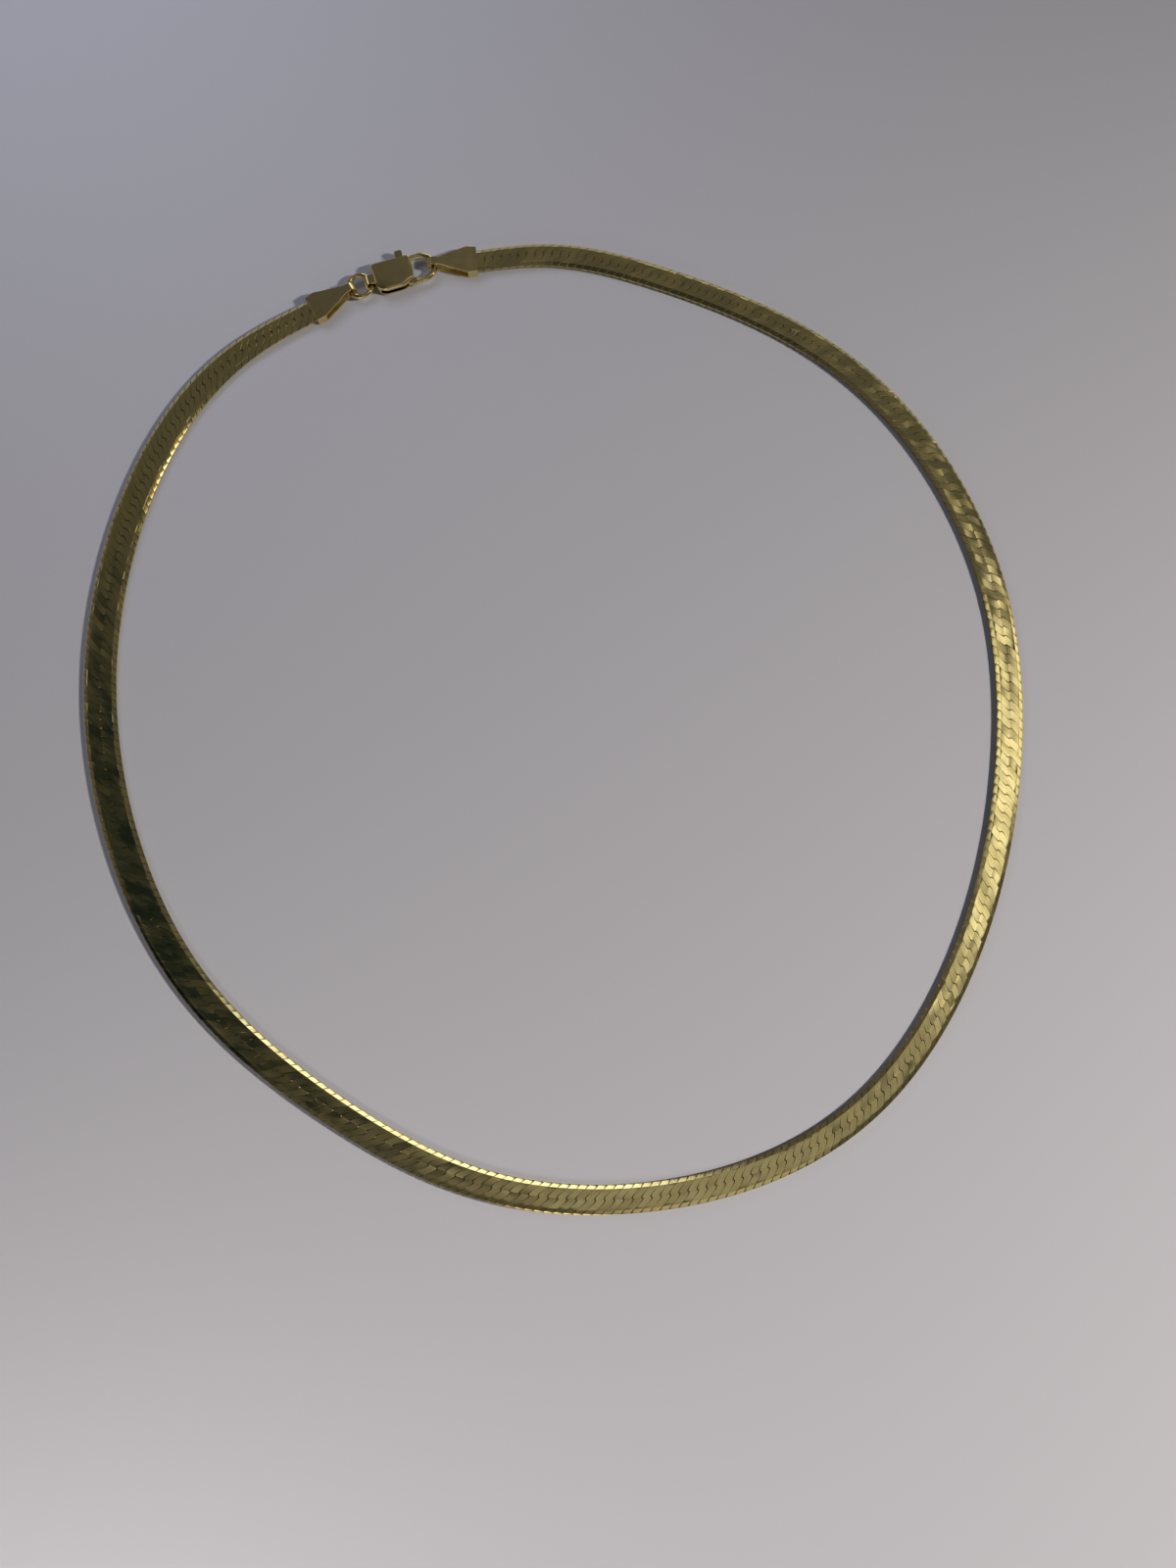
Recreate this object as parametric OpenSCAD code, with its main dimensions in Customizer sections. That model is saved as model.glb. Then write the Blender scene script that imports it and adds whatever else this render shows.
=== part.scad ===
// Herringbone chain necklace, fastened and lying flat in a loop.
// Millimetres, +Z up. The origin is the middle of the loop's outline, on the surface it lies on.
// The clasp sits at the back of the loop (+Y side) and the thumb knob points outwards.

/* [Necklace] */
// Length of the fastened loop along its middle line
necklace_length = 406; // [385:1:460]

/* [Chain] */
// Width of the herringbone band where it lies relaxed
band_w = 3.8; // [3.4:0.1:4.6]
// Width of the band's ends, squeezed by the collars
grip_w = 3.3; // [3:0.1:3.6]
// Thickness of the band
band_t = 1.0; // [0.8:0.05:1.2]
// Width of the slanted facet along each edge of the band
facet_w = 0.55; // [0.3:0.05:0.8]
// Height of that facet
facet_h = 0.35; // [0.2:0.05:0.38]

/* [End caps] */
// Thickness of the folded sheet
sheet_t = 0.25; // [0.2:0.01:0.32]
// From the collar's mouth to the middle of the fold
cap_l = 6.2; // [5.4:0.1:8]
// Length of the collar that grips the chain
collar_l = 1.4; // [1.1:0.1:2.2]
// How much wider the collar's ridge is than its mouth, on each side
ridge_flare = 0.1; // [0:0.02:0.3]
// How much higher the collar's ridge is than its mouth
ridge_rise = 0.16; // [0:0.02:0.3]
// Width of the waist that is folded round the ring or the hook
waist_w = 1.2; // [0.9:0.1:1.4]
// Straight run of the waist before it widens
waist_run = 0.7; // [0.3:0.1:1.2]

/* [Jump ring] */
// Outer diameter of the ring
ring_d = 4.0; // [3.8:0.1:5]
// Wire of the ring
ring_wire = 0.7; // [0.5:0.05:0.75]

/* [Clasp body] */
// From the eye's middle to the middle of the nose
clasp_l = 9.5; // [9.3:0.1:12]
// Width over the belly and over the hook
clasp_w = 4.6; // [4.3:0.1:4.9]
// Thickness of the body
body_t = 1.9; // [1.75:0.05:2.4]
// Distance from the eye's middle to the body's tail end
tail_gap = 0.45; // [0.4:0.05:0.8]
// Length of the window, from the body to the inside of the nose
window_l = 2.8; // [2.6:0.05:3.1]
// How far the outer corner at the window stands ahead of the middle
front_slant = 0.2; // [0:0.05:0.3]
// Width of the body at the window
front_w = 3.9; // [3.6:0.1:4.2]
// Radius of the body's outer corner at the tail
tail_corner = 0.8; // [0.6:0.05:1.2]
// Radius of the belly on the lever's side
belly_r = 1.75; // [1.4:0.05:1.8]
// Distance from the window to where the belly begins to narrow
belly_back = 2.2; // [2:0.1:3]
// Radius of the rounding along the body's edges
edge_round = 0.35; // [0.15:0.05:0.45]
// Wire of the hook and of the gate
hook_d = 0.85; // [0.75:0.05:0.95]
// Width of the eye
eye_w = 1.3; // [1.1:0.1:1.5]
// Wall of the eye round its hole
eye_wall = 0.32; // [0.25:0.01:0.4]

/* [Lever] */
// Thickness of the lever's blade
lever_t = 0.65; // [0.5:0.05:0.8]
// Thickness of the gate at its root
gate_root = 1.05; // [0.95:0.05:1.1]
// Distance of the pin from the window, along the clasp
pin_back = 2.7; // [2.5:0.1:3]
// Distance of the pin from the clasp's middle line, towards the gate
pin_v = 0.4; // [0.2:0.1:0.7]
// Diameter of the pin
pin_d = 0.7; // [0.5:0.05:0.8]
// Metal that is left over the blind end of the pin's hole
pin_cover = 0.3; // [0.2:0.05:0.4]
// Length of the gate, from the body to its seam with the nose
gate_l = 1.1; // [0.9:0.05:1.2]
// Width of the thumb knob
knob_w = 1.1; // [0.9:0.1:1.3]
// How far the thumb knob stands out of the body
knob_out = 1.0; // [0.8:0.1:1.6]
// Thickness of the thumb knob
knob_t = 1.1; // [0.8:0.05:1.4]
// Distance of the thumb knob from the window, along the clasp
knob_back = 1.3; // [1.2:0.1:1.6]

/* [Fits] */
// Gap between pieces that touch or turn
fit = 0.05; // [0.03:0.01:0.08]
// Radial gap between the pin and the body
pin_seat = 0.02; // [0.01:0.005:0.03]

/* [Hidden] */
$fn = 48;
hull_sides = 32;
beyond = 4;

// Route of the loop's middle line, seen from above and clockwise.
// It starts before the left cap, and the points stand closer together along the clasp.
// Columns: x, y, width of the band as a share of band_w. A smooth curve passes near each point.
route = [
    [-49.0, 64.0, 1.00],
    [-38.5, 69.5, 0.97],
    [-34.5, 72.5, 0.95],
    [-27.0, 75.0, 0.95],
    [-21.0, 77.0, 0.95],
    [-17.0, 76.5, 0.95],
    [-5.0, 79.0, 0.93],
    [8.5, 75.5, 0.93],
    [30.0, 67.0, 0.96],
    [46.5, 52.5, 0.99],
    [57.5, 29.0, 0.95],
    [58.0, 4.5, 0.92],
    [52.5, -20.5, 0.93],
    [39.0, -43.5, 0.95],
    [17.0, -54.5, 0.97],
    [-11.0, -55.5, 0.99],
    [-31.5, -45.0, 1.05],
    [-52.5, -29.5, 1.11],
    [-64.0, -7.0, 1.18],
    [-68.0, 17.0, 1.18],
    [-64.5, 39.5, 1.13],
    [-57.5, 55.0, 1.06]
];
steps = 16;
ring_step = 2.3;
rise_l = 16;

// A point of the closed curve: the four nearest route points, blended by cubic shares
function shares(t) = [
    pow(1 - t, 3) / 6,
    (3 * pow(t, 3) - 6 * pow(t, 2) + 4) / 6,
    (3 * t + 3 * pow(t, 2) - 3 * pow(t, 3) + 1) / 6,
    pow(t, 3) / 6
];
function curve(u) =
    let (i = floor(u), w = shares(u - i), n = len(route))
    w[0] * route[i % n] + w[1] * route[(i + 1) % n]
    + w[2] * route[(i + 2) % n] + w[3] * route[(i + 3) % n];
function plan(p) = [p.x, p.y];

samples = [for (j = [0 : len(route) * steps]) curve(j / steps)];
count = len(samples) - 1;
spans = [for (j = [0 : count - 1]) norm(plan(samples[j + 1] - samples[j]))];
travel = [for (j = 0, s = 0; j <= count; s = s + (j < count ? spans[j] : 0), j = j + 1) s];
stretch = necklace_length / travel[count];

xs = [for (p = samples) p.x * stretch];
ys = [for (p = samples) p.y * stretch];
halves = [for (p = samples) p.z * band_w / 2];
middle = [min(xs - halves) + max(xs + halves), min(ys - halves) + max(ys + halves)] / 2;
x_table = [for (j = [0 : count]) [travel[j] * stretch, xs[j] - middle.x]];
y_table = [for (j = [0 : count]) [travel[j] * stretch, ys[j] - middle.y]];
w_table = [for (j = [0 : count]) [travel[j] * stretch, samples[j].z]];

// Place on the loop, share of the width and direction at a distance along the loop
function wrap(s) = s - necklace_length * floor(s / necklace_length);
function at(s) = [lookup(wrap(s), x_table), lookup(wrap(s), y_table)];
function share_at(s) = lookup(wrap(s), w_table);
function toward(a, b) = let (d = at(b) - at(a)) d / norm(d);
function heading(a, b) = let (d = toward(a, b)) atan2(d.y, d.x);

// Distances along the loop, from the left cap's mouth
ring_mid = (ring_d - ring_wire) / 2;
ring_s = cap_l + ring_mid;
eye_s = ring_s + ring_mid;
nose_s = eye_s + clasp_l;
right_s = nose_s + cap_l;
grip = collar_l - fit;

// The clasp's eye, wide enough for the ring's curve and for the turn between ring and clasp
eye_turn = abs(heading(ring_s, eye_s) - heading(eye_s, nose_s));
eye_bend = asin(eye_w / 2 / ring_mid);
eye_sag = ring_mid * (1 - cos(eye_bend));
eye_room = ring_wire / 2 / cos(eye_bend + eye_turn) + eye_w / 2 * tan(eye_turn);
eye_hole_r = eye_room + eye_sag / 2 + 2 * fit;
eye_r = eye_hole_r + eye_wall;

// The caps' fold, wide enough for the hook's curve and for the turn between cap and clasp
hook_r = (clasp_w - hook_d) / 2;
cap_turn = abs(heading(eye_s, nose_s) - heading(nose_s, right_s));
hook_bend = asin(waist_w / 2 / hook_r);
hook_sag = hook_r * (1 - cos(hook_bend)) + waist_w / 2 * tan(cap_turn);
fold_r = hook_d / 2 / cos(hook_bend + cap_turn) + hook_sag + 2 * fit;

// Heights: everything on the clasp is centred on mid_z
mid_z = max(body_t / 2, sheet_t + fold_r, eye_r);
cap_z = mid_z - fold_r - sheet_t;
collar_floor = cap_z + sheet_t;
mouth_z = collar_floor + band_t + 2 * fit;
ridge_z = mouth_z + ridge_rise;
chain_lift = collar_floor + fit;

// Collar and cap widths
cavity_w = grip_w + 2 * fit;
mouth_w = cavity_w + 2 * sheet_t;
ridge_w = mouth_w + 2 * ridge_flare;

// Clasp body
play = 3 * fit;
hook_u = clasp_l - hook_r;
front_u = clasp_l - hook_d / 2 - window_l;
knob_u = front_u - knob_back;
front_in = 0.1;
front_v = clasp_w / 2 - front_in;
front_r = edge_round + 0.1;
tail_wall = 0.6;
slot_u = tail_gap + tail_wall;
slot_t = lever_t + play;
root_u = knob_u + knob_w / 2 + play;
root_web = 0.3;
root_v = hook_r - hook_d / 2 - root_web;
bar_in = 0.5;

// Lever
pin_at = [front_u - pin_back, -pin_v];
pin_r = pin_d / 2;
boss_wall = 0.5;
boss_r = pin_r + boss_wall;
gate_reach = norm([front_u + gate_l, -hook_r] - pin_at);
gate_u = front_u - front_slant + play;
neck_in = 0.15;
neck_r = knob_w / 2 - neck_in;
knob_round = 0.25;

// Moves children to the loop at distance a, turned towards distance b
module along(a, b) {
    translate([at(a).x, at(a).y, 0])
        rotate([0, 0, heading(a, b)])
            children();
}

// Height of the band's underside: it lies flat and rises gently to each cap
function ease(x) = let (c = min(1, max(0, x))) c * c * (3 - 2 * c);
function relaxed(s) = ease((min(s - right_s, necklace_length - s) - collar_l) / rise_l);
function underside(s) = chain_lift * (1 - relaxed(s));
function band_width(s) = grip_w + (band_w * share_at(s) - grip_w) * relaxed(s);

// Place and direction of the band: straight inside the collars, on the loop between them
function band_at(s) =
    s < right_s ? at(right_s) + (right_s - s) * toward(right_s, nose_s)
    : s > necklace_length ? at(0) + (s - necklace_length) * toward(0, cap_l)
    : at(s);
function band_ahead(s) =
    s <= right_s ? toward(nose_s, right_s)
    : s >= necklace_length ? toward(0, cap_l)
    : toward(s - ring_step / 2, s + ring_step / 2);

// Outline of the band's section: across, and up from its underside
function section(w) = [
    [-w / 2, facet_h],
    [-w / 2 + facet_w, 0],
    [w / 2 - facet_w, 0],
    [w / 2, facet_h],
    [w / 2, band_t - facet_h],
    [w / 2 - facet_w, band_t],
    [-w / 2 + facet_w, band_t],
    [-w / 2, band_t - facet_h]
];

module chain() {
    free_l = necklace_length - right_s;
    pieces = ceil(free_l / ring_step);
    stations = [
        right_s - grip,
        for (i = [0 : pieces]) right_s + free_l * i / pieces,
        necklace_length + grip
    ];
    rings = len(stations) - 1;
    sides = len(section(band_w));
    points = [
        for (s = stations)
            let (c = band_at(s), f = band_ahead(s), z = underside(s))
            for (q = section(band_width(s)))
                [c.x + f.y * q.x, c.y - f.x * q.x, z + q.y]
    ];
    walls = [
        for (i = [0 : rings - 1], k = [0 : sides - 1])
            let (a = i * sides + k, b = i * sides + (k + 1) % sides)
            [a, b, b + sides, a + sides]
    ];
    ends = [
        [for (k = [sides - 1 : -1 : 0]) k],
        [for (k = [0 : sides - 1]) rings * sides + k]
    ];
    color([0.86, 0.70, 0.33])
        polyhedron(points = points, faces = concat(walls, ends), convexity = 6);
}

// Cap seen from above: mouth at zero, fold at cap_l
module cap_plan() {
    taper_u = cap_l - waist_run;
    tip_u = cap_l + fold_r + sheet_t;
    polygon([
        [0, -mouth_w / 2],
        [collar_l, -ridge_w / 2],
        [taper_u, -waist_w / 2],
        [tip_u, -waist_w / 2],
        [tip_u, waist_w / 2],
        [taper_u, waist_w / 2],
        [collar_l, ridge_w / 2],
        [0, mouth_w / 2]
    ]);
}

// Cap seen from the side: two leaves of sheet joined by the fold
module cap_side() {
    polygon([[0, cap_z], [cap_l, cap_z], [cap_l, collar_floor], [0, collar_floor]]);
    polygon([
        [0, mouth_z],
        [collar_l, ridge_z],
        [cap_l, mid_z + fold_r],
        [cap_l, mid_z + fold_r + sheet_t],
        [collar_l, ridge_z + sheet_t],
        [0, mouth_z + sheet_t]
    ]);
    intersection() {
        translate([cap_l, mid_z])
            difference() {
                circle(r = fold_r + sheet_t);
                circle(r = fold_r);
            }
        translate([cap_l, 0])
            square([beyond, beyond]);
    }
}

module collar_side() {
    polygon([
        [0, cap_z],
        [collar_l, cap_z],
        [collar_l, ridge_z + sheet_t],
        [0, mouth_z + sheet_t]
    ]);
}

module cap_shape() {
    wall_w = (ridge_w - cavity_w) / 2;
    intersection() {
        linear_extrude(height = beyond)
            cap_plan();
        union() {
            rotate([90, 0, 0])
                linear_extrude(height = ridge_w, center = true)
                    cap_side();
            for (side = [-1, 1])
                translate([0, side * (cavity_w + wall_w) / 2, 0])
                    rotate([90, 0, 0])
                        linear_extrude(height = wall_w, center = true)
                            collar_side();
        }
    }
}

module end_cap_left() {
    color([0.80, 0.66, 0.32])
        along(0, cap_l)
            cap_shape();
}

module end_cap_right() {
    color([0.80, 0.66, 0.32])
        along(right_s, nose_s)
            cap_shape();
}

module jump_ring() {
    color([0.90, 0.74, 0.38])
        translate([at(ring_s).x, at(ring_s).y, mid_z])
            rotate_extrude()
                translate([ring_mid, 0])
                    circle(d = ring_wire);
}

// The five round corners of the body seen from above, drawn in by the given amount:
// a straight outer side, and a belly on the lever's side
module body_corners(inset) {
    belly_v = belly_r - clasp_w / 2;
    translate([tail_gap + tail_corner, clasp_w / 2 - tail_corner])
        circle(r = tail_corner - inset, $fn = hull_sides);
    translate([front_u + front_slant - front_r, front_v - front_r])
        circle(r = front_r - inset, $fn = hull_sides);
    translate([front_u - front_slant - front_r, front_v - front_w + front_r])
        circle(r = front_r - inset, $fn = hull_sides);
    for (u = [tail_gap + belly_r, front_u - belly_back])
        translate([u, belly_v])
            circle(r = belly_r - inset, $fn = hull_sides);
}

// Body's block with rounded edges: one skin stretched over thin slices of those corners
module body_block() {
    slice = 0.01;
    turn = 22.5;
    hull()
        for (end = [-1, 1], a = [0 : turn : 90])
            translate([0, 0, mid_z + end * (body_t / 2 - edge_round * (1 - sin(a))) - slice / 2])
                linear_extrude(height = slice)
                    body_corners(edge_round * (1 - cos(a)));
}

// Round bar along the clasp, with one diameter at each end
module bar(from_u, to_u, v, from_d) {
    translate([from_u, v, mid_z])
        rotate([0, 90, 0])
            cylinder(d1 = from_d, d2 = hook_d, h = to_u - from_u);
}

// Vertical rod at the pin, from height low to height high
module pin_rod(r, low, high) {
    translate([pin_at.x, pin_at.y, low])
        cylinder(r = r, h = high - low);
}

// The hook: a bar along the outer side, round the nose, and back to the seam
module hook() {
    bar(front_u - bar_in, hook_u, hook_r, hook_d);
    difference() {
        union() {
            translate([hook_u, 0, mid_z])
                rotate_extrude(angle = 180, start = -90)
                    translate([hook_r, 0])
                        circle(d = hook_d);
            bar(gate_u, hook_u, -hook_r, hook_d);
        }
        pin_rod(gate_reach + 2 * fit, mid_z - hook_d, mid_z + hook_d);
    }
}

module eye_lug() {
    translate([-eye_sag / 2, 0, mid_z])
        rotate([90, 0, 0])
            cylinder(r = eye_r, h = eye_w, center = true);
    translate([-eye_sag / 2, -eye_w / 2, mid_z - eye_r])
        cube([slot_u + eye_sag / 2, eye_w, 2 * eye_r]);
}

// Room for the lever's blade, leaving the tail and the hook's root solid
module slot() {
    side = clasp_w / 2 + beyond;
    end_u = front_u + front_slant + fit;
    translate([0, 0, mid_z - slot_t / 2])
        linear_extrude(height = slot_t)
            polygon([
                [slot_u, -side],
                [end_u, -side],
                [end_u, root_v],
                [root_u, root_v],
                [root_u, side],
                [slot_u, side]
            ]);
}

module clasp_body() {
    color([0.84, 0.70, 0.36])
        along(eye_s, nose_s)
            difference() {
                union() {
                    difference() {
                        body_block();
                        slot();
                    }
                    hook();
                    eye_lug();
                }
                translate([-eye_sag / 2, 0, mid_z])
                    rotate([90, 0, 0])
                        cylinder(r = eye_hole_r, h = eye_w + 2 * fit, center = true);
                pin_rod(pin_r + pin_seat, mid_z - body_t, mid_z + body_t / 2 - pin_cover);
            }
}

module blade() {
    translate([0, 0, mid_z - lever_t / 2])
        linear_extrude(height = lever_t) {
            hull() {
                translate(pin_at)
                    circle(r = boss_r, $fn = hull_sides);
                translate([gate_u, -hook_r])
                    circle(r = hook_d / 2, $fn = hull_sides);
            }
            hull() {
                translate(pin_at)
                    circle(r = boss_r, $fn = hull_sides);
                translate([knob_u, clasp_w / 2])
                    circle(r = neck_r, $fn = hull_sides);
            }
        }
}

module knob() {
    half_w = knob_w / 2 - knob_round;
    near_v = clasp_w / 2 + 2 * fit + knob_round;
    far_v = clasp_w / 2 + knob_out - knob_round;
    translate([0, 0, mid_z - knob_t / 2])
        linear_extrude(height = knob_t)
            hull()
                for (u = [knob_u - half_w, knob_u + half_w], v = [near_v, far_v])
                    translate([u, v])
                        circle(r = knob_round, $fn = hull_sides);
}

module clasp_lever() {
    color([0.88, 0.73, 0.40])
        along(eye_s, nose_s)
            difference() {
                union() {
                    blade();
                    knob();
                    intersection() {
                        bar(gate_u, hook_u, -hook_r, gate_root);
                        pin_rod(gate_reach, mid_z - gate_root, mid_z + gate_root);
                    }
                }
                pin_rod(pin_r + fit, mid_z - body_t, mid_z + body_t);
            }
}

module clasp_pin() {
    color([0.78, 0.64, 0.32])
        along(eye_s, nose_s)
            pin_rod(pin_r, mid_z - body_t / 2, mid_z + body_t / 2 - pin_cover - fit);
}

chain();
end_cap_left();
end_cap_right();
jump_ring();
clasp_body();
clasp_lever();
clasp_pin();
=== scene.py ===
# Herringbone chain necklace, fastened and lying in a loop on a pale floor.
# Metres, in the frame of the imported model: +Z up, the clasp on the +Y side.
# The tables of the pieces are in millimetres and are turned into metres where a mesh is made.
# The camera, floor and lamps are in metres.
import math
import bpy
import bmesh
import numpy as np
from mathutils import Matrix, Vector
from mathutils.bvhtree import BVHTree


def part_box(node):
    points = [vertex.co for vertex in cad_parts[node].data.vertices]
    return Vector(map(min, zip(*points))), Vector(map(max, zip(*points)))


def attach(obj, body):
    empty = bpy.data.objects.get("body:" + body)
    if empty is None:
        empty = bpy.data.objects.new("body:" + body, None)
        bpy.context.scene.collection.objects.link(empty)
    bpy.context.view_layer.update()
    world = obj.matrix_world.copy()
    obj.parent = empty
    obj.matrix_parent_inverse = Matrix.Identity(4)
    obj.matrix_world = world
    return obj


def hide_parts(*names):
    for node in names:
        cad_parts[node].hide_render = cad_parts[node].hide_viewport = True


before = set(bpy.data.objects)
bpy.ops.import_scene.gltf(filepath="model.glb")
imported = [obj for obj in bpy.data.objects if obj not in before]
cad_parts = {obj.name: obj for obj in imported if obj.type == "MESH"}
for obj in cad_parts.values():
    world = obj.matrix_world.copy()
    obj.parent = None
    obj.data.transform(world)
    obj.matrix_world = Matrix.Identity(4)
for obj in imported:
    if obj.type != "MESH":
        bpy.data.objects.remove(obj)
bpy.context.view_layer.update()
print("frame loaded")

mm = 0.001
scene = bpy.context.scene


# Camera
camera = {
    "stand": (0.004866, -0.05854, 0.22047),
    "tilt": 12.0,  # degrees from straight down, towards the clasp
    "lens": 38.25,
    "film": 36.0,  # on the frame's long side
    "clip": (0.005, 20),
}

lens = bpy.data.cameras.new("camera")
lens.sensor_fit = "VERTICAL"
lens.sensor_height = camera["film"]
lens.lens = camera["lens"]
lens.clip_start, lens.clip_end = camera["clip"]
viewer = bpy.data.objects.new("camera", lens)
viewer.location = camera["stand"]
viewer.rotation_euler = (math.radians(camera["tilt"]), 0, 0)
scene.collection.objects.link(viewer)
scene.camera = viewer
print("camera set")


# The loop and the band on it
loop = {
    "length": 406.0,
    "rightMouth": 25.2,  # distances along the loop from the left cap's mouth
    "nose": 19.0,
    "capLength": 6.2,
    "grip": 1.35,  # how far the band reaches into each collar
    "fine": 64,  # steps from one route point to the next
    # x, y and the band's share of its width
    "route": [
        (-49, 64, 1.00), (-38.5, 69.5, 0.97), (-34.5, 72.5, 0.95), (-27, 75, 0.95),
        (-21, 77, 0.95), (-17, 76.5, 0.95), (-5, 79, 0.93), (8.5, 75.5, 0.93),
        (30, 67, 0.96), (46.5, 52.5, 0.99), (57.5, 29, 0.95), (58, 4.5, 0.92),
        (52.5, -20.5, 0.93), (39, -43.5, 0.95), (17, -54.5, 0.97), (-11, -55.5, 0.99),
        (-31.5, -45, 1.05), (-52.5, -29.5, 1.11), (-64, -7, 1.18), (-68, 17, 1.18),
        (-64.5, 39.5, 1.13), (-57.5, 55, 1.06),
    ],
}

band = {
    "width": 3.8,
    "gripWidth": 3.3,  # width in the collars
    "thickness": 1.0,
    "facetWidth": 0.55,
    "facetHeight": 0.35,
    "lift": 0.3,  # underside's height at the collars
    "collar": 1.4,  # this far from a collar's mouth the band begins to widen and sink
    "rise": 16.0,  # and it takes this length
    "aim": 1.1,  # the band's direction is taken from this far behind to this far ahead
    "turn": 2.3,  # length over which it turns from a collar's direction to the loop's
    "step": 0.1,  # of the tables along the band
    # distance along the loop, and the links' spacing there
    "spacing": [
        (20, 1.22), (60, 1.22), (78, 1.18), (95, 1.17), (105, 1.29), (140, 1.32),
        (165, 1.27), (205, 1.19), (228, 1.20), (250, 1.23), (288, 1.38), (304, 1.38),
        (320, 1.25), (333, 1.15), (362, 1.17), (410, 1.27),
    ],
    "slant": 1.25,  # how far a slit runs along the band for each mm across it
    "slantStart": 0.4,  # half width of the steep part beside the seam
    "edgeSlant": 0.8,  # the same share over the facets
    "outerJog": -0.18,  # how far the outer row is set back from the inner one
    "keel": 0.27,  # depth of a bar
    "seed": 11,
    "tilt": 0.010,  # spread of the bars' tilt, as a slope
    "drift": 0.003,  # spread of the slower tilt that neighbours share
    "neighbours": 9,
    "twist": 0.02,
    "sink": 0.012,  # tilted bars lie this much deeper, and stand up no more than this
    # where the stations of a bar lie: from the seam, in shares of the flat top and underside,
    # each side of a fold, and above and below the side wall
    "seamGap": 0.006,
    "seamSteps": (0.09, 0.25),
    "topShares": (0.4, 0.7),
    "underShare": 0.6,
    "fold": 0.02,
    "rims": (0.08, 0.03),
    "lastOnTop": 5,
    "firstUnder": 12,
    # at each station from the top seam to the lower one: the gap between neighbouring bars,
    # how far their rounded edges reach in, and how deep those edges lie
    "gaps": [
        0.045, 0.060, 0.065, 0.045, 0.025, 0.010, 0.05, 0.09,
        0.09, 0.09, 0.09, 0.05, 0.008, 0.020, 0.08, 0.08,
    ],
    "rounds": [
        0.04, 0.04, 0.04, 0.03, 0.01, 0.01, 0.03, 0.05,
        0.06, 0.06, 0.05, 0.04, 0.01, 0.01, 0.04, 0.04,
    ],
    "drops": [
        0.05, 0.05, 0.04, 0.02, 0.01, 0.01, 0.02, 0.03,
        0.04, 0.04, 0.03, 0.02, 0.01, 0.01, 0.04, 0.05,
    ],
    # and how dark the painted shade is there, in the slit and on the face
    "shadePaint": [
        1.0, 1.0, 1.0, 0.8, 0.5, 0.3, 0.6, 0.9,
        0.9, 0.9, 0.9, 0.9, 0.5, 0.5, 1.0, 1.0,
    ],
    "faceShadePaint": [
        0.0, 0.0, 0.0, 0.0, 0.0, 0.0, 0.0, 0.0,
        0.2, 0.4, 0.4, 0.3, 0.1, 0.0, 0.0, 0.0,
    ],
    "hook": (0.15, 0.03),  # length and width of the piece of slit that runs along the seam
    "margin": 6,  # the links are counted from this far before the band to this far past it
    "endGap": 0.02,  # the bars end this far inside the band's ends
    "endSqueeze": 0.8,  # bars that would pass the band's end are squeezed into this length
    "shortest": 0.15,  # and those that end up shorter than this are left out
    "smooth": 12,  # degrees
}

core = {
    "inset": 0.34,  # from the band's side walls
    "depth": 0.25,  # from its top and its underside
    "shoulder": (0.45, 0.15),  # width and height of the sloped edges
    "endGap": 0.05,
    "sections": 340,
}


def unit(v):
    return v / np.linalg.norm(v, axis=-1, keepdims=True)


def ease(x):
    # 0 to 1 with a smooth start and end: 3 x squared less 2 x cubed
    x = np.clip(x, 0, 1)
    return x * x * (3 - 2 * x)


def loopTable():
    # Each place is the four nearest route points blended by cubic shares, all the way round;
    # then the whole is stretched to the loop's length and centred on its outline
    points = np.array(loop["route"], float)
    u = np.arange(len(points) * loop["fine"] + 1) / loop["fine"]
    first = np.floor(u).astype(int)
    t = u - first
    shares = np.stack([
        (1 - t) ** 3,
        3 * t ** 3 - 6 * t ** 2 + 4,
        3 * t + 3 * t ** 2 - 3 * t ** 3 + 1,
        t ** 3,
    ]) / 6
    near = points[(first + np.arange(4)[:, None]) % len(points)]
    curve = (shares[..., None] * near).sum(axis=0)
    steps = np.linalg.norm(np.diff(curve[:, :2], axis=0), axis=1)
    travel = np.concatenate([[0], np.cumsum(steps)])
    stretch = loop["length"] / travel[-1]
    place = curve[:, :2] * stretch
    half = curve[:, 2:] * band["width"] / 2
    middle = ((place - half).min(axis=0) + (place + half).max(axis=0)) / 2
    return travel * stretch, place - middle, curve[:, 2]


loopTravel, loopPlace, loopShare = loopTable()
bandStart = loop["rightMouth"] - loop["grip"]
bandEnd = loop["length"] + loop["grip"]


def onLoop(s):
    # Place on the loop's middle line at distance s
    s = np.mod(s, loop["length"])
    return np.stack([np.interp(s, loopTravel, loopPlace[:, k]) for k in (0, 1)], axis=-1)


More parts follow.
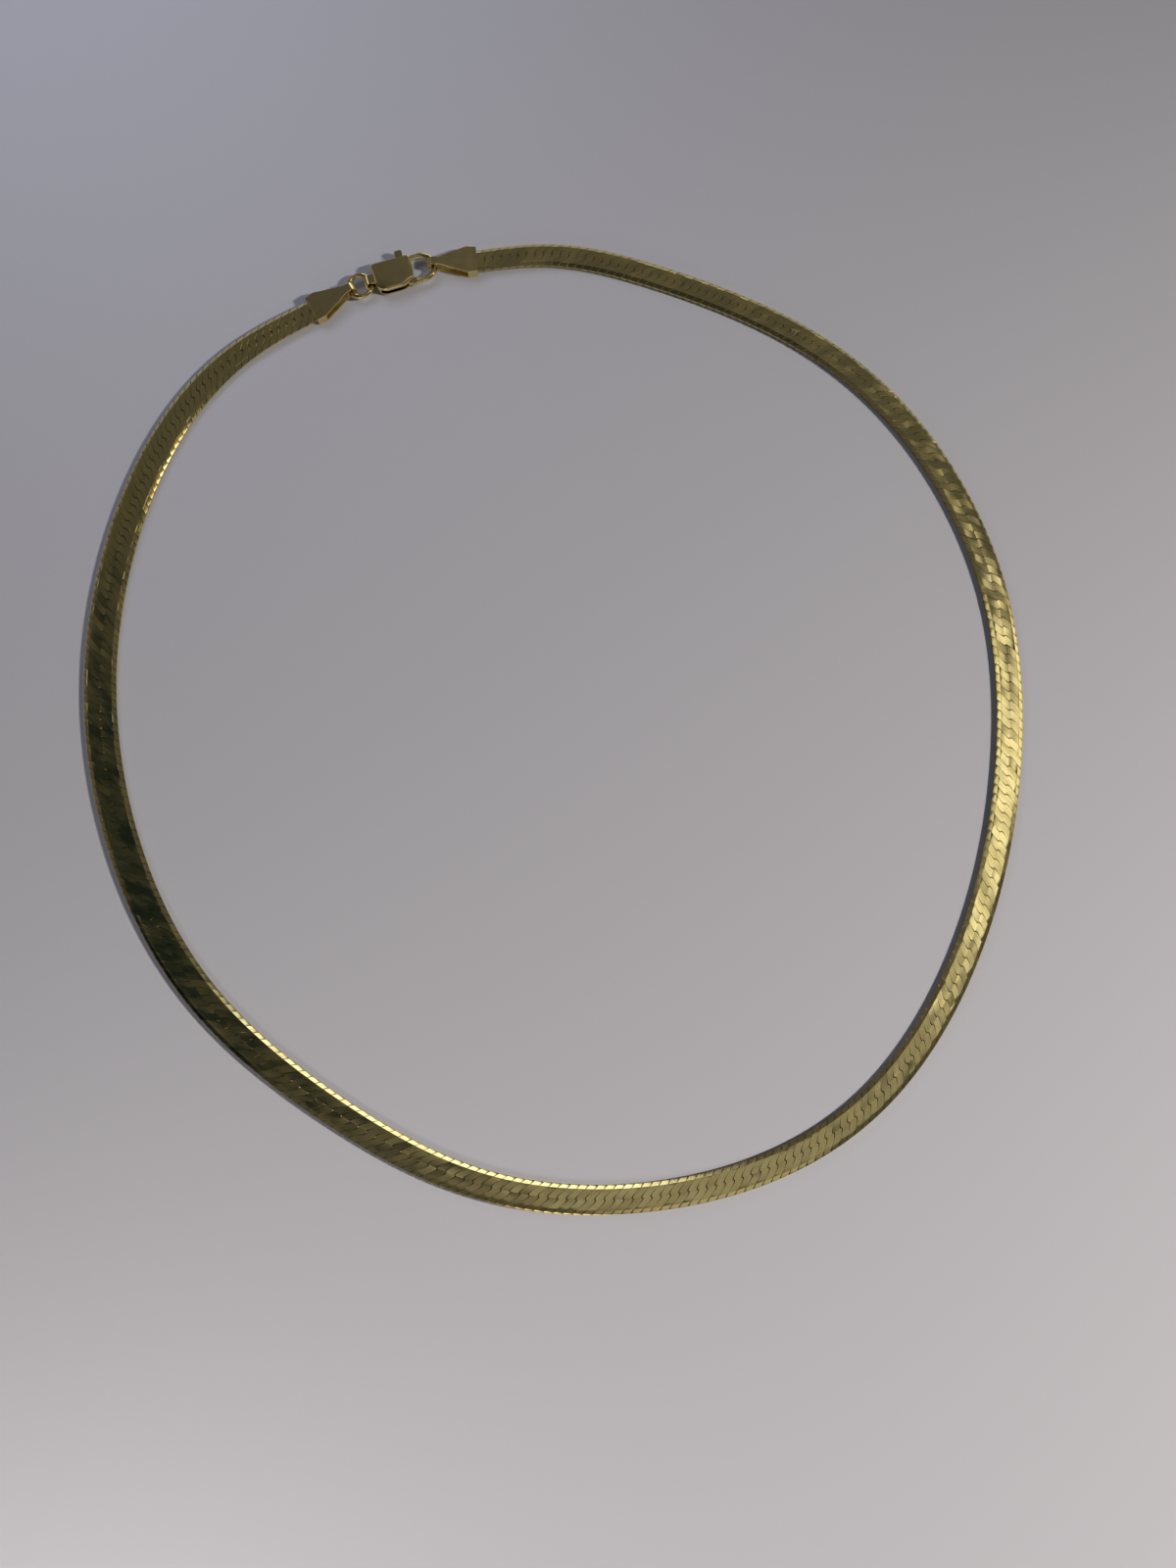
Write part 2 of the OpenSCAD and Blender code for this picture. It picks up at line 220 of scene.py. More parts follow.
def bandTable():
    # Place, direction, width and underside height along the band.
    # It is straight inside each collar, follows the loop between them, and turns over a short way
    s = np.linspace(bandStart, bandEnd, int((bandEnd - bandStart) / band["step"]) + 1)
    rightWay = unit(onLoop(loop["rightMouth"]) - onLoop(loop["nose"]))
    leftWay = unit(onLoop(loop["capLength"]) - onLoop(0))
    past = np.maximum(s - loop["length"], 0)[:, None]
    before = np.minimum(s - loop["rightMouth"], 0)[:, None]
    free = np.clip(s, loop["rightMouth"], loop["length"] - 1e-6)
    place = onLoop(free) + before * rightWay + past * leftWay
    ahead = unit(onLoop(free + band["aim"]) - onLoop(free - band["aim"]))
    turnIn = ease((s - loop["rightMouth"]) / band["turn"])[:, None]
    turnOut = ease((loop["length"] - s) / band["turn"])[:, None]
    ahead = unit(rightWay * (1 - turnIn) + ahead * turnIn)
    ahead = unit(leftWay * (1 - turnOut) + ahead * turnOut)
    fromEnd = np.minimum(s - loop["rightMouth"], loop["length"] - s)
    relaxed = ease((fromEnd - band["collar"]) / band["rise"])
    share = np.interp(np.mod(s, loop["length"]), loopTravel, loopShare)
    width = band["gripWidth"] + (band["width"] * share - band["gripWidth"]) * relaxed
    under = band["lift"] * (1 - relaxed)
    return s, np.column_stack([place, ahead, width, under])


tableS, tableRows = bandTable()


def alongBand(s):
    # x, y, direction x, direction y, width and underside height at each distance
    return np.stack([np.interp(s, tableS, column) for column in tableRows.T], axis=-1)


def toWorld(s, across, height):
    # Metres from distance along the band, distance to the right of travel and height over the underside
    row = alongBand(s)
    x = row[..., 0] + row[..., 3] * across
    y = row[..., 1] - row[..., 2] * across
    return np.stack([x, y, row[..., 5] + height], axis=-1) * mm


def linkPlaces():
    # Distances at which the links begin: the running sum of 1 / spacing reaches each whole number
    step = band["step"]
    s = np.arange(bandStart - band["margin"], bandEnd + band["margin"], step)
    table = np.array(band["spacing"])
    spacing = np.interp(s[:-1] + step / 2, table[:, 0], table[:, 1])
    count = np.concatenate([[0], np.cumsum(step / spacing)])
    return np.interp(np.arange(int(count[-1])), count, s)


def squeeze(s):
    # Distances past the band's ends are drawn in to just inside them
    room = band["endSqueeze"]
    low = bandStart + band["endGap"] + room
    high = bandEnd - band["endGap"] - room
    s = np.where(s < low, low - room + room * np.exp(np.minimum(s - low, 0) / room), s)
    return np.where(s > high, high + room - room * np.exp(np.minimum(high - s, 0) / room), s)


def barProfile(half):
    # Distance across and height of a bar's stations round the band's section, for each half width:
    # from the seam over the top, facet, side, lower facet and underside back to the lower seam
    face = half - band["facetWidth"]
    top = band["thickness"]
    drop = band["facetHeight"]
    slope = drop / band["facetWidth"]
    one = np.ones_like(half)
    seam = band["seamGap"] / 2
    near, far = band["seamSteps"]
    inner, outer = band["topShares"]
    fold = band["fold"]
    rim, lowRim = band["rims"]
    stations = [
        (seam * one, top),
        (near * one, top),
        (far * one, top),
        (inner * face, top),
        (outer * face, top),
        (face - fold, top),
        (face + fold, top - fold * slope),
        (half - rim, top - drop + rim * slope),
        (half, top - drop - fold),
        (half, drop + fold),
        (half - lowRim, drop - lowRim * slope),
        (face + fold, fold * slope),
        (face - fold, 0),
        (band["underShare"] * face, 0),
        (far * one, 0),
        (seam * one, 0),
    ]
    across = np.stack([d for d, z in stations], axis=-1)
    height = np.stack([z * one for d, z in stations], axis=-1)
    return across, height, face


def slitShift(across, path, face):
    # How far a slit has moved along the band at each station: slowly beside the seam, then in step with
    # the distance across the top, then with the path over the edge, and on under the band
    top = band["lastOnTop"]
    under = band["firstUnder"]
    soft = band["slantStart"]
    flat = band["slant"] * (np.sqrt(np.minimum(across, face[:, None]) ** 2 + soft ** 2) - soft)
    turn = flat[:, top, None]
    edge = turn + band["edgeSlant"] * (path - path[:, top, None])
    back = edge[:, under, None] + turn - flat
    k = np.arange(across.shape[1])
    return np.where(k <= top, flat, np.where(k < under, edge, back))


def inwardWays(across, height):
    # Inward direction at each station: square to the profile's run, and straight down or up at the seam
    run = unit(np.stack([np.gradient(across, axis=1), np.gradient(height, axis=1)], axis=-1))
    inwardAcross = run[..., 1]
    inwardHeight = -run[..., 0]
    inwardAcross[:, [0, -1]] = 0
    inwardHeight[:, 0] = -1
    inwardHeight[:, -1] = 1
    return inwardAcross[..., None], inwardHeight[..., None]


def barTilt(rng, count):
    # Slope of each bar: its own chance plus a slower wave that its neighbours share
    own = rng.normal(0, band["tilt"], count)
    shared = band["neighbours"]
    wide = np.convolve(rng.normal(0, 1, count + shared - 1), np.hanning(shared), "valid")
    return (own + wide / wide.std() * band["drift"])[:, None, None]


def tubeFaces(tubes, rows, corners):
    # Faces of closed tubes that follow one another: from each corner a quad to the next corner
    # and the next row, and a cap at each end
    first = np.arange(tubes)[:, None, None] * rows * corners
    row = first + np.arange(rows - 1)[:, None] * corners
    corner = np.arange(corners)
    after = (corner + 1) % corners
    quads = np.stack([row + corner, row + after, row + corners + after, row + corners + corner], axis=-1)
    start = first[:, 0] + corner
    caps = np.concatenate([start[:, ::-1], start + (rows - 1) * corners])
    return quads.reshape(-1, 4), caps


def barRow(side, rng):
    # One row of bars: the inner one to the right of travel (side 1), the outer one to its left (side -1).
    # A bar is a closed tube of five corners carried over the stations; its ends along the band
    # are the two slits, which shift ahead as the bar goes round
    starts = linkPlaces()
    jog = band["outerJog"] if side < 0 else 0
    home = starts[:-1] + jog
    follow = starts[1:] + jog
    half = alongBand(np.clip(home, bandStart, bandEnd))[:, 4] / 2
    across, height, face = barProfile(half)
    bars, stations = across.shape
    legs = np.hypot(np.diff(across, axis=1), np.diff(height, axis=1))
    path = np.concatenate([np.zeros((bars, 1)), np.cumsum(legs, axis=1)], axis=1)
    shift = slitShift(across, path, face) * -side
    gap = np.array(band["gaps"])
    rounded = np.array(band["rounds"])
    begin = home[:, None] + shift + gap / 2
    end = follow[:, None] + shift - gap / 2
    middle = (begin + end) / 2
    s = np.stack([begin, begin + rounded, end - rounded, end, middle], axis=-1)
    # at the seam the slit runs a little along it, from this row's slit to the other row's
    hookLength, hookWidth = band["hook"]
    if side > 0:
        s[:, 0, 2] = s[:, 0, 3] - hookLength
    else:
        s[:, 0, 1] = s[:, 0, 0] + hookLength
    # depth of each corner under the band's surface; on the top the bar's own tilt is added
    drop = np.array(band["drops"])
    none = drop * 0
    depth = np.stack([drop, none, none, drop, none + band["keel"]], axis=-1) * np.ones_like(s)
    tilt = barTilt(rng, bars)
    lean = barTilt(rng, bars)
    twist = rng.normal(0, band["twist"], (bars, 1, 1))
    tone = rng.random((bars, 1, 1))
    fromMiddle = (across / face[:, None] - 0.5)[..., None]
    k = np.arange(stations)
    onTop = np.where(k <= band["lastOnTop"], 1.0, np.where(k == band["lastOnTop"] + 1, 0.5, 0.0))[:, None]
    sway = (tilt + twist * fromMiddle * 2) * (s - middle[..., None]) + lean * fromMiddle * face[:, None, None]
    depth += onTop * np.maximum(sway + band["sink"], -band["sink"])
    inwardAcross, inwardHeight = inwardWays(across, height)
    outward = across[..., None] + inwardAcross * depth
    outward[:, 0, 3 if side > 0 else 0] += hookWidth
    up = height[..., None] + inwardHeight * depth
    s = squeeze(s)
    keep = (s[..., 3] - s[..., 0]).max(axis=1) > band["shortest"]
    verts = toWorld(s, side * outward, up)[keep]
    place = np.broadcast_arrays(home[:, None, None] + (s - middle[..., None]), path[..., None] * side, tone)
    # painted shade: the slit's darkness on the bars' ends and keel, the face's darkness between them
    paintedShade = np.outer(band["shadePaint"], [1, 0, 0, 1, 1]) + np.outer(band["faceShadePaint"], [0, 1, 1, 0, 0])
    faces = tubeFaces(len(verts), stations, s.shape[2])
    return {
        "verts": verts.reshape(-1, 3),
        "faces": [rows[:, ::side] for rows in faces],
        "place": np.stack(place, axis=-1)[keep].reshape(-1, 3),
        "paintedShade": np.broadcast_to(paintedShade, s.shape)[keep].ravel(),
    }


def bandCore():
    # Closed strip inside the bars, all painted shade, seen dark through the slits: an eight-cornered section
    # carried along the band
    s = np.linspace(bandStart + core["endGap"], bandEnd - core["endGap"], core["sections"])
    half = alongBand(s)[:, 4] / 2 - core["inset"]
    slopeWidth, slopeHeight = core["shoulder"]
    flat = half - slopeWidth
    low = core["depth"]
    high = band["thickness"] - low
    lowSide = low + slopeHeight
    highSide = high - slopeHeight
    across = np.stack([half, half, flat, -flat, -half, -half, -flat, flat], axis=-1)
    height = np.array([lowSide, highSide, high, high, highSide, lowSide, low, low])
    verts = toWorld(s[:, None], across, height).reshape(-1, 3)
    return {
        "verts": verts,
        "faces": tubeFaces(1, len(s), len(height)),
        "place": np.zeros_like(verts),
        "paintedShade": np.ones(len(verts)),
    }


def newPiece(name, verts, faces):
    mesh = bpy.data.meshes.new(name)
    mesh.from_pydata(np.asarray(verts).tolist(), [], faces)
    mesh.update()
    piece = bpy.data.objects.new(name, mesh)
    scene.collection.objects.link(piece)
    return piece


def signedVolume(piece):
    # A sixth of the sum over all triangles of the first corner times the cross product of the others
    mesh = piece.data
    mesh.calc_loop_triangles()
    co = np.zeros(len(mesh.vertices) * 3)
    mesh.vertices.foreach_get("co", co)
    tri = np.zeros(len(mesh.loop_triangles) * 3, int)
    mesh.loop_triangles.foreach_get("vertices", tri)
    a, b, c = co.reshape(-1, 3)[tri.reshape(-1, 3)].transpose(1, 0, 2)
    return float(np.einsum("ij,ij->i", a, np.cross(b, c)).sum() / 6)


def smoothUpTo(mesh, degrees):
    mesh.shade_smooth()
    mesh.set_sharp_from_angle(angle=math.radians(degrees))


def makeChain():
    # Both rows of bars and the core, one after the other in one mesh. barPlace is each corner's distance
    # along the band, its path from the seam and the bar's own tone; the other layer is how dark the painted
    # shade is there
    rng = np.random.default_rng(band["seed"])
    parts = [barRow(1, rng), barRow(-1, rng), bandCore()]
    faces = []
    offset = 0
    for part in parts:
        for rows in part["faces"]:
            faces += (rows + offset).tolist()
        offset += len(part["verts"])
    verts, place, paintedShade = [
        np.concatenate([part[key] for part in parts]) for key in ("verts", "place", "paintedShade")
    ]
    piece = newPiece("herringboneChain", verts, faces)
    layers = piece.data.attributes
    layers.new("barPlace", "FLOAT_VECTOR", "POINT").data.foreach_set("vector", place.ravel())
    layers.new("bandShadeLayer", "FLOAT", "POINT").data.foreach_set("value", paintedShade)
    smoothUpTo(piece.data, band["smooth"])
    return piece


chain = makeChain()
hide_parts("chain")
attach(chain, "necklace")
print("chain made:", len(chain.data.polygons), "faces, volume mm3", round(signedVolume(chain) * 1e9, 1))


# Caps, ring and clasp
ring = {
    "outer": 4.0,
    "wire": 0.7,
    "around": 96,
    "section": 24,
}

shelter = {
    "rays": 40,
    "start": 0.01,  # height over the face
    "reach": 1.6,
    "least": 0.1,  # rays flatter to the face than this are left out
}

rounding = {
    "merge": 0.002,  # corners nearer than this become one
    "flat": 1,  # degrees up to which neighbouring faces are joined
    "sharp": 35,  # degrees from which an edge is bevelled
    "segments": 2,
}


def makeRing():
    # Torus: a small circle of the wire carried round the ring's middle circle
    low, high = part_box("jump_ring")
    middle = np.array((low + high) / 2)
    wire = ring["wire"] / 2 * mm
    radius = ring["outer"] / 2 * mm - wire
    around = ring["around"]
    section = ring["section"]
    i, j = np.meshgrid(np.arange(around), np.arange(section), indexing="ij")
    a = i * 2 * np.pi / around
    b = j * 2 * np.pi / section
    reach = radius + wire * np.cos(b)
    verts = np.stack([reach * np.cos(a), reach * np.sin(a), wire * np.sin(b)], axis=-1) + middle
    iNext = (i + 1) % around
    jNext = (j + 1) % section
    quads = np.stack([i, iNext, iNext, i], axis=-1) * section + np.stack([j, j, jNext, jNext], axis=-1)
    piece = newPiece("jumpRing", verts.reshape(-1, 3), quads.reshape(-1, 4).tolist())
    piece.data.shade_smooth()
    return piece


jumpRing = makeRing()
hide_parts("jump_ring")
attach(jumpRing, "necklace")


def shelterFaces(work):
    # Painted shade on each face: the share of evenly spread rays from its middle that soon meet the piece
    # again. The rays' heights are evenly spaced and each is turned on by the golden angle
    tree = BVHTree.FromBMesh(work)
    layer = work.faces.layers.float.new("paintedShade")
    step = np.arange(shelter["rays"]) + 0.5
    rise = 1 - 2 * step / shelter["rays"]
    turn = step * math.pi * (3 - math.sqrt(5))
    flat = np.sqrt(1 - rise ** 2)
    ways = [Vector(way) for way in np.stack([np.cos(turn) * flat, np.sin(turn) * flat, rise], axis=-1)]
    for face in work.faces:
        start = face.calc_center_median() + face.normal * shelter["start"] * mm
        rays = [way for way in ways if way.dot(face.normal) > shelter["least"]]
        hits = [tree.ray_cast(start, ray, shelter["reach"] * mm)[0] is not None for ray in rays]
        face[layer] = sum(hits) / len(hits)


def roundedCopy(nodeName, name, body, width, smooth=30):
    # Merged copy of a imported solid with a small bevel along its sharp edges
    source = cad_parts[nodeName]
    mesh = bpy.data.meshes.new(name)
    work = bmesh.new()
    work.from_mesh(source.data)
    bmesh.ops.remove_doubles(work, verts=work.verts, dist=rounding["merge"] * mm)
    flat = math.radians(rounding["flat"])
    bmesh.ops.dissolve_limit(work, angle_limit=flat, verts=work.verts, edges=work.edges)
    # painted shade in the hollows, from the rays that meet the piece again
    shelterFaces(work)
    work.to_mesh(mesh)
    work.free()
    piece = bpy.data.objects.new(name, mesh)
    scene.collection.objects.link(piece)
    smoothUpTo(mesh, smooth)
    bevel = piece.modifiers.new("edges", "BEVEL")
    bevel.width = width * mm
    bevel.segments = rounding["segments"]
    bevel.limit_method = "ANGLE"
    bevel.angle_limit = math.radians(rounding["sharp"])
    bevel.harden_normals = True
    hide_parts(nodeName)
    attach(piece, body)
    return piece


capLeft = roundedCopy("end_cap_left", "endCapLeft", "necklace", 0.08, 8)
capRight = roundedCopy("end_cap_right", "endCapRight", "necklace", 0.08, 8)
claspBody = roundedCopy("clasp_body", "claspBody", "necklace", 0.05)
claspLever = roundedCopy("clasp_lever", "claspLever", "lever", 0.05)
claspPin = roundedCopy("clasp_pin", "claspPin", "necklace", 0.04)
print("caps, ring and clasp made")


# Materials
def addNode(tree, kind, values=None, **settings):
    made = tree.nodes.new(kind)
    for key, value in settings.items():
        setattr(made, key, value)
    for key, value in (values or {}).items():
        made.inputs[key].default_value = value
    return made


def join(tree, source, target):
    tree.links.new(source, target)


def softStep(tree, value, low, high):
    # From 0 to 1, smoothly, as the value goes from low to high
    made = addNode(
        tree, "ShaderNodeMapRange", {"From Min": low, "From Max": high}, interpolation_type="SMOOTHSTEP",
    )
    join(tree, value, made.inputs["Value"])
    return made.outputs["Result"]


def mixColors(tree, factor, a, b):
    # a where the factor is 0 and b where it is 1; both are either an output or a plain colour
    mix = addNode(tree, "ShaderNodeMix", data_type="RGBA")
    join(tree, factor, mix.inputs["Factor"])
    for source, key in ((a, "A"), (b, "B")):
        socket = [x for x in mix.inputs if x.name == key and x.type == "RGBA"][0]
        if hasattr(source, "is_linked"):
            join(tree, source, socket)
        else:
            socket.default_value = source
    return [x for x in mix.outputs if x.type == "RGBA"][0]


def makeFinishGroup():
    # Polished gold that has been worn: patches of mirror and satin polish,
    # and fine lines along the second axis
    tree = bpy.data.node_groups.new("wornPolish", "ShaderNodeTree")
    for way, kind, names in (
        ("INPUT", "Vector", ["Place"]),
        ("INPUT", "Color", ["Gold", "Shade"]),
        ("INPUT", "Float", ["Patches", "Lines", "Mirror", "Satin", "Satin Share"]),
        ("OUTPUT", "Color", ["Color"]),
        ("OUTPUT", "Float", ["Roughness", "Height"]),
    ):
        for name in names:
            tree.interface.new_socket(name, in_out=way, socket_type="NodeSocket" + kind)
    inside = addNode(tree, "NodeGroupInput")
    outside = addNode(tree, "NodeGroupOutput")
    patches = addNode(tree, "ShaderNodeTexNoise", {"Detail": 4.0, "Roughness": 0.6})
    join(tree, inside.outputs["Place"], patches.inputs["Vector"])
    join(tree, inside.outputs["Patches"], patches.inputs["Scale"])
    level = addNode(tree, "ShaderNodeMath", operation="ADD")
    join(tree, patches.outputs["Fac"], level.inputs[0])
    join(tree, inside.outputs["Satin Share"], level.inputs[1])
    mask = softStep(tree, level.outputs[0], 0.90, 1.08)
    stretch = addNode(tree, "ShaderNodeMapping", {"Scale": (1.0, 0.06, 1.0)})
    join(tree, inside.outputs["Place"], stretch.inputs["Vector"])
    lines = addNode(tree, "ShaderNodeTexNoise", {"Detail": 3.0, "Roughness": 0.65})
    join(tree, stretch.outputs["Vector"], lines.inputs["Vector"])
    join(tree, inside.outputs["Lines"], lines.inputs["Scale"])
    polish = addNode(tree, "ShaderNodeMix", data_type="FLOAT")
    join(tree, mask, polish.inputs["Factor"])
    join(tree, inside.outputs["Mirror"], polish.inputs["A"])
    join(tree, inside.outputs["Satin"], polish.inputs["B"])
    grain = addNode(
        tree, "ShaderNodeMapRange", {"From Min": 0.3, "From Max": 0.7, "To Min": 0.85, "To Max": 1.2},
    )
    join(tree, lines.outputs["Fac"], grain.inputs["Value"])
    rough = addNode(tree, "ShaderNodeMath", operation="MULTIPLY")
    join(tree, polish.outputs["Result"], rough.inputs[0])
    join(tree, grain.outputs["Result"], rough.inputs[1])
    tint = mixColors(tree, mask, inside.outputs["Shade"], inside.outputs["Gold"])
    join(tree, tint, outside.inputs["Color"])
    join(tree, rough.outputs[0], outside.inputs["Roughness"])
    join(tree, lines.outputs["Fac"], outside.inputs["Height"])
    return tree


finishGroup = makeFinishGroup()


def barPattern(tree, look):
    # The patterns lie along each bar's own places and are longer across the band
    place = addNode(tree, "ShaderNodeAttribute", attribute_name="barPlace")
    scaled = addNode(tree, "ShaderNodeMapping", {"Scale": look["patternScale"]})
    join(tree, place.outputs["Vector"], scaled.inputs["Vector"])
    return scaled.outputs["Vector"]


def solidPattern(tree, look):
    # The patterns lie in the piece's own millimetres, turned to its length
    coords = addNode(tree, "ShaderNodeTexCoord")
    turned = addNode(tree, "ShaderNodeMapping", {
        "Rotation": (0, 0, math.radians(look["turn"])),
        "Scale": (1 / mm, 1 / mm, 1 / mm),
    })
    join(tree, coords.outputs["Object"], turned.inputs["Vector"])
    return turned.outputs["Vector"]


def goldMaterial(name, look, pattern):
    # Metallic shader with the wear group's colour, polish and fine lines, darkened where painted shade lies
    material = bpy.data.materials.new(name)
    material.use_nodes = True
    tree = material.node_tree
    tree.nodes.clear()
    out = addNode(tree, "ShaderNodeOutputMaterial")
    shader = addNode(tree, "ShaderNodeBsdfPrincipled", {"Metallic": 1.0})
    join(tree, shader.outputs["BSDF"], out.inputs["Surface"])
    finish = addNode(tree, "ShaderNodeGroup", look["finish"], node_tree=finishGroup)
    join(tree, pattern(tree, look), finish.inputs["Place"])
    bump = addNode(tree, "ShaderNodeBump", {"Strength": look["bump"], "Distance": look["bumpDepth"] * mm})
    join(tree, finish.outputs["Height"], bump.inputs["Height"])
    join(tree, bump.outputs["Normal"], shader.inputs["Normal"])
    join(tree, finish.outputs["Roughness"], shader.inputs["Roughness"])
    # painted shade: the layer's value mixes the colour towards the dark shade colour
    layer, low, high, dark = look["shadePaint"]
    shadePaint = addNode(tree, "ShaderNodeAttribute", attribute_name=layer)
    paintedShade = softStep(tree, shadePaint.outputs["Fac"], low, high)
    color = mixColors(tree, paintedShade, finish.outputs["Color"], dark)
    join(tree, color, shader.inputs["Base Color"])
    return material


def goldLook(gold, shade, mirror, satin, share, turn):
    return {
        "finish": {
            "Gold": gold,
            "Shade": shade,
            "Patches": 0.5,
            "Lines": 6.0,
            "Mirror": mirror,
            "Satin": satin,
            "Satin Share": share,
        },
        "bump": 0.2,
        "bumpDepth": 0.01,
        # painted shade from the sheltered-face layer, and its dark colour
        "shadePaint": ("paintedShade", 0.3, 0.8, (0.16, 0.085, 0.03, 1)),
        "turn": turn,
    }


# Painted shade: the layer that says where it lies, from and up to which value it darkens, and its colour
bandLook = {
    "finish": {
        "Gold": (0.90, 0.75, 0.31, 1),
        "Shade": (0.82, 0.70, 0.31, 1),
        "Patches": 0.35,
        "Lines": 6.0,
        "Mirror": 0.12,
        "Satin": 0.20,
        "Satin Share": 0.5,
    },
    "bump": 0.2,
    "bumpDepth": 0.01,
    # painted shade from the band's layer, and its dark colour
    "shadePaint": ("bandShadeLayer", 0.1, 0.9, (0.10, 0.06, 0.022, 1)),
    "patternScale": (1.0, 0.6, 0.6),
}
gold = (0.90, 0.73, 0.33, 1)
oliveGold = (0.84, 0.71, 0.32, 1)
warmGold = (0.93, 0.71, 0.34, 1)
looks = {
    "caps": goldLook(gold, oliveGold, 0.16, 0.21, 0.5, 105),
    "ring": goldLook(warmGold, gold, 0.08, 0.15, 0.4, 0),
    "clasp": goldLook(gold, oliveGold, 0.13, 0.17, 0.5, 107),
    "lever": goldLook(gold, oliveGold, 0.13, 0.17, 0.5, 107),
    "pin": goldLook(gold, oliveGold, 0.15, 0.25, 0.4, 107),
}
chain.data.materials.append(goldMaterial("herringboneGold", bandLook, barPattern))
golds = {name: goldMaterial(name + "Gold", look, solidPattern) for name, look in looks.items()}
for piece, name in (
    (capLeft, "caps"), (capRight, "caps"), (jumpRing, "ring"),
    (claspBody, "clasp"), (claspLever, "lever"), (claspPin, "pin"),
):
    piece.data.materials.append(golds[name])
print("materials made")


# Floor, light and surroundings
floor = {
    "size": 6.0,
    "color": (0.54, 0.53, 0.565, 1),
    "roughness": 0.6,
}

# The window is only seen as a reflection. The other lamps light the floor and aren't reflected
lamps = {
    "key": {
        "stand": (0.48, -0.04, 0.41),
        "aim": (0.398, -0.737, 0.0),  # away from the clasp's side, which is darker in the photo
        "size": (0.08, 0.08),
        "shape": "ELLIPSE",
        "watts": 8.3,
        "color": (1.0, 0.955, 0.89),
        "reflected": False,
    },
    "backWindow": {
        "stand": (0.155, 0.75, 0.42),
        "aim": (0.0, 0.0, 0.0),
        "size": (0.50, 0.30),
        "shape": "RECTANGLE",
        "watts": 0.70,
        "color": (0.97, 1.0, 1.08),
        "reflected": True,
    },
    "frontFill": {
        "stand": (-0.07, -0.16, 0.09),
        "aim": (-0.07, -0.161, 0.0),
        "size": (0.08, 0.08),
        "shape": "ELLIPSE",
        "watts": 0.07,
        "color": (1.0, 0.98, 0.96),
        "reflected": False,
    },
    "skyFill": {
        "stand": (-0.10, 0.16, 0.12),
        "aim": (-0.10, 0.161, 0.0),
        "size": (0.15, 0.15),
        "shape": "RECTANGLE",
        "watts": 0.10,
        "color": (0.88, 0.95, 1.15),
        "reflected": False,
    },
}

surroundings = {
    "base": (0.080, 0.077, 0.080, 1),  # what the metal reflects, between the patches
    "onFloor": (0.012, 0.015, 0.026, 1),  # what lights the floor
    "backdrop": (0.32, 0.32, 0.34, 1),  # what the camera sees
    # soft patches, each over the ones before it: colour, direction, and the half angles in degrees
    # at which it has faded out and up to which it is full
    "patches": [
        ((0.29, 0.28, 0.29, 1), (0.09, -0.01, 0.995), 10.5, 4),
        ((0.36, 0.35, 0.36, 1), (0.03, -0.03, 1.0), 6, 1),
        ((1.35, 1.31, 1.29, 1), (0.243, 0.19, 0.95), 8, 1),
        ((1.15, 1.10, 1.00, 1), (-0.75, 0.26, 0.61), 9, 5),
        ((1.30, 1.25, 1.10, 1), (0.96, 0.24, 0.16), 13, 7),
        ((0.42, 0.40, 0.38, 1), (0.30, -0.87, 0.38), 20, 12),
        ((3.00, 2.40, 1.60, 1), (-0.10, -0.99, 0.05), 10, 5),
        ((1.10, 1.00, 0.80, 1), (0.97, 0.22, 0.07), 8, 5),
        ((6.00, 5.20, 4.00, 1), (0.82, -0.10, 0.56), 6, 3),
        ((0.006, 0.013, 0.018, 1), (-0.26, 0.145, 0.955), 14, 2),
        ((0.03, 0.03, 0.03, 1), (-0.28, -0.53, 0.80), 22, 12),
        ((0.06, 0.06, 0.05, 1), (-0.25, -0.89, 0.38), 12, 6),
        ((0.003, 0.006, 0.008, 1), (-0.86, -0.42, 0.30), 20, 12),
    ],
}


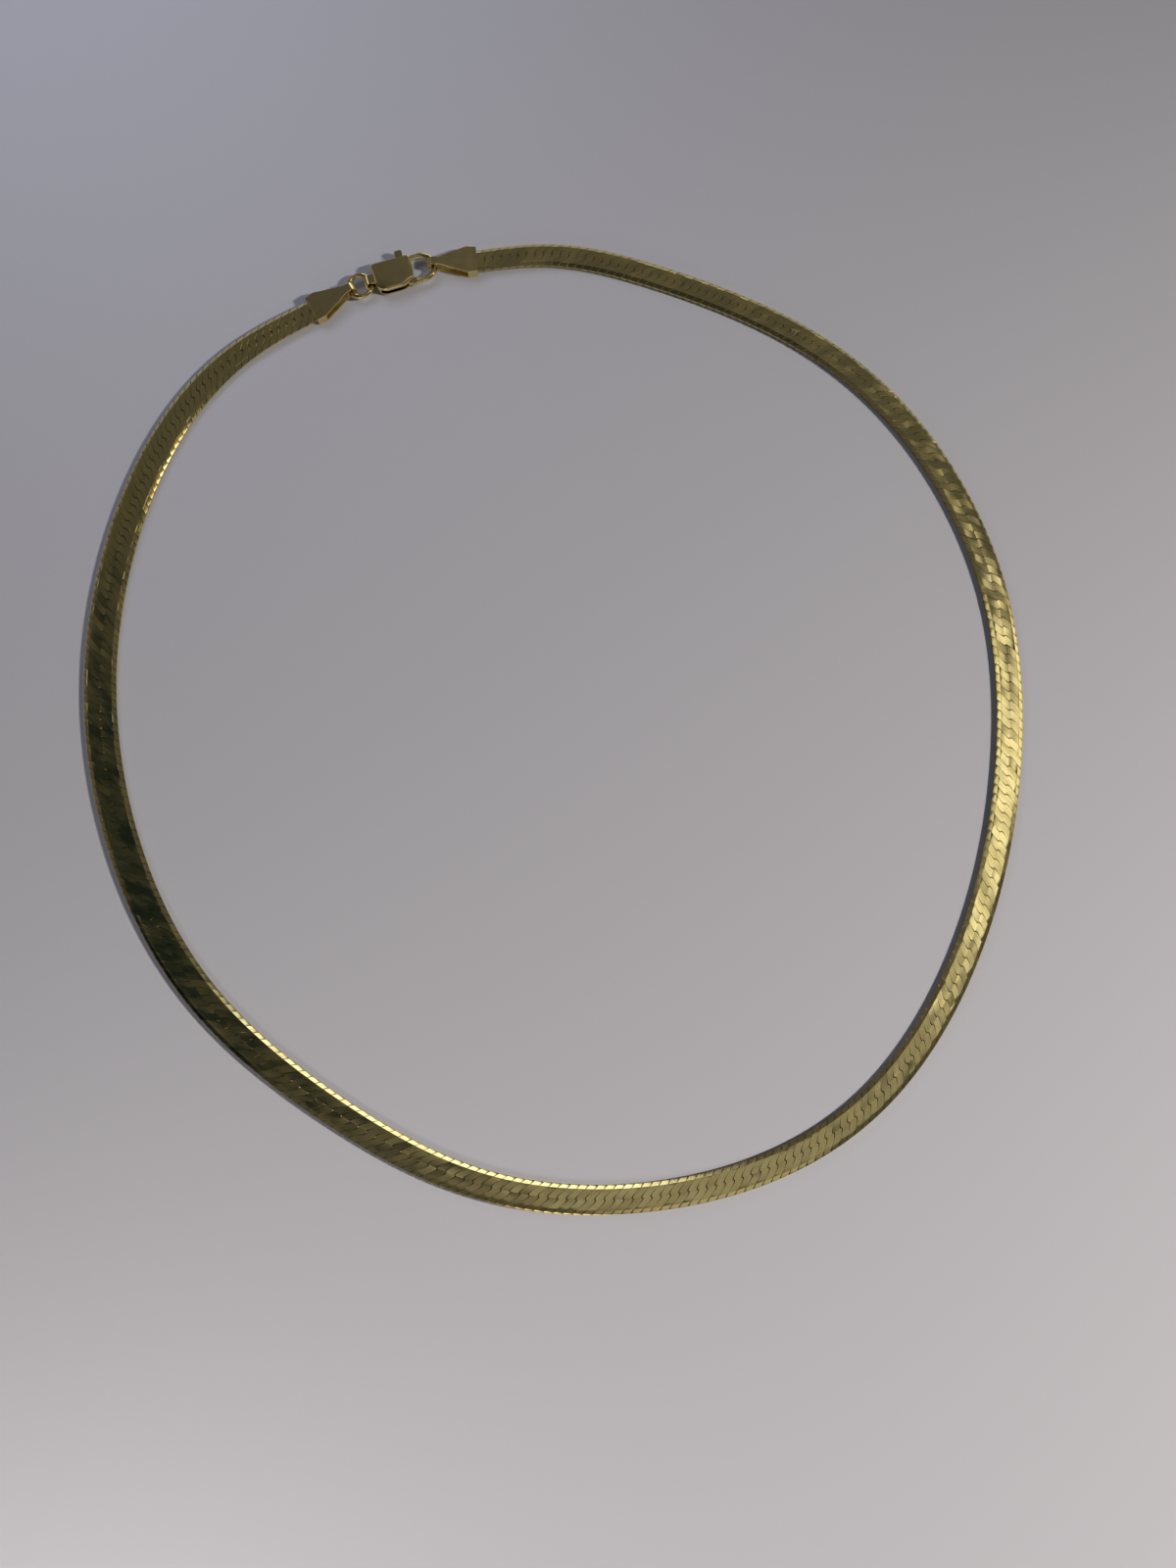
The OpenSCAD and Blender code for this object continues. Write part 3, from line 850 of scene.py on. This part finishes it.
def makeFloor():
    half = floor["size"] / 2
    verts = [(-half, -half, 0), (half, -half, 0), (half, half, 0), (-half, half, 0)]
    piece = newPiece("floor", verts, [(0, 1, 2, 3)])
    material = bpy.data.materials.new("paleFloor")
    material.use_nodes = True
    shader = material.node_tree.nodes["Principled BSDF"]
    shader.inputs["Base Color"].default_value = floor["color"]
    shader.inputs["Roughness"].default_value = floor["roughness"]
    piece.data.materials.append(material)


def makeLamps():
    # Each lamp is tilted from straight down towards its aim
    for name, values in lamps.items():
        light = bpy.data.lights.new(name, "AREA")
        light.shape = values["shape"]
        light.size, light.size_y = values["size"]
        light.energy = values["watts"]
        light.color = values["color"]
        lamp = bpy.data.objects.new(name, light)
        way = unit(np.array(values["aim"]) - np.array(values["stand"]))
        lamp.location = values["stand"]
        lamp.rotation_euler = (math.acos(-way[2]), 0, math.atan2(way[1], way[0]) - math.pi / 2)
        lamp.visible_glossy = values["reflected"]
        lamp.visible_diffuse = not values["reflected"]
        scene.collection.objects.link(lamp)


def makeSurroundings():
    # A dim studio with soft patches of light and shade for reflections,
    # and an even colour of its own each for the floor's light and for the camera
    world = bpy.data.worlds.new("studio")
    scene.world = world
    world.use_nodes = True
    tree = world.node_tree
    tree.nodes.clear()
    out = addNode(tree, "ShaderNodeOutputWorld")
    back = addNode(tree, "ShaderNodeBackground")
    join(tree, back.outputs[0], out.inputs["Surface"])
    coords = addNode(tree, "ShaderNodeTexCoord")
    color = surroundings["base"]
    for patch, way, outer, inner in surroundings["patches"]:
        aim = addNode(tree, "ShaderNodeVectorMath", operation="DOT_PRODUCT")
        aim.inputs[1].default_value = unit(np.array(way))
        join(tree, coords.outputs["Generated"], aim.inputs[0])
        low, high = math.cos(math.radians(outer)), math.cos(math.radians(inner))
        mask = softStep(tree, aim.outputs["Value"], low, high)
        color = mixColors(tree, mask, color, patch)
    path = addNode(tree, "ShaderNodeLightPath")
    color = mixColors(tree, path.outputs["Is Diffuse Ray"], color, surroundings["onFloor"])
    color = mixColors(tree, path.outputs["Is Camera Ray"], color, surroundings["backdrop"])
    join(tree, color, back.inputs["Color"])


makeFloor()
makeLamps()
makeSurroundings()
scene.view_settings.view_transform = "Standard"
print("floor and light made")
